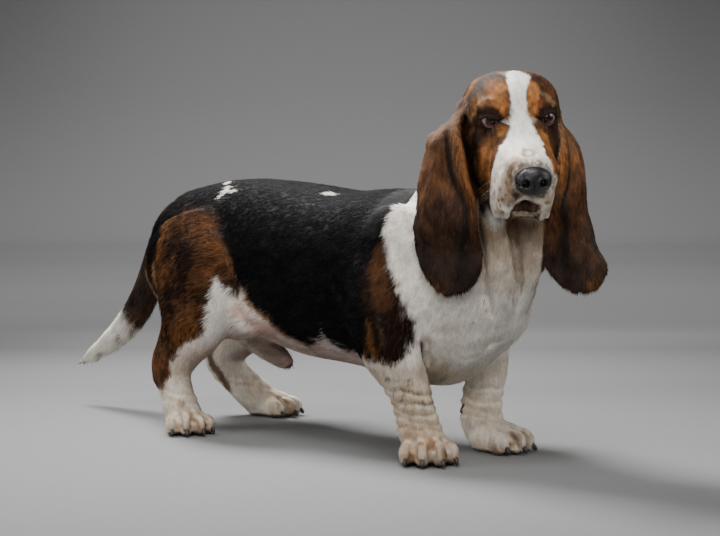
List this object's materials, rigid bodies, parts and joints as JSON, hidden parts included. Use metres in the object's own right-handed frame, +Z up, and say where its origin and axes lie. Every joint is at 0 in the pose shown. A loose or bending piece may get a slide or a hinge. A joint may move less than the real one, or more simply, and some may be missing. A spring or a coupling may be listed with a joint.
{
  "type": "basset hound, still life-size model",
  "caption": "Standing basset hound with its head turned to its right: long body, short wrinkled legs, long folded ears, loose throat skin and a low tail.",
  "frame": {"origin": "on the floor, under the middle of the dog's bounding box", "axes": "+X forwards along the back, +Y to the dog's left, +Z up"},
  "size_m": [0.9844, 0.3009, 0.5152],
  "materials": {
    "coat_black": "short glossy black fur",
    "coat_white": "short white fur, faintly ticked",
    "coat_tan": "short tan fur",
    "coat_brown": "short dark brown fur",
    "eye": "dark brown glass eye",
    "nose_leather": "moist black nose leather"
  },
  "bodies": {
    "root": {"torso": "coat_black", "neck": "coat_white", "head": "coat_tan", "ear_left": "coat_brown", "ear_right": "coat_brown", "eye_left": "eye", "eye_right": "eye", "nose": "nose_leather", "foreleg_left": "coat_white", "foreleg_right": "coat_white", "hindleg_left": "coat_brown", "hindleg_right": "coat_brown", "fore_paw_left": "coat_white", "fore_paw_right": "coat_white", "hind_paw_left": "coat_white", "hind_paw_right": "coat_white", "tail": "coat_white"}
  },
  "joints": []
}
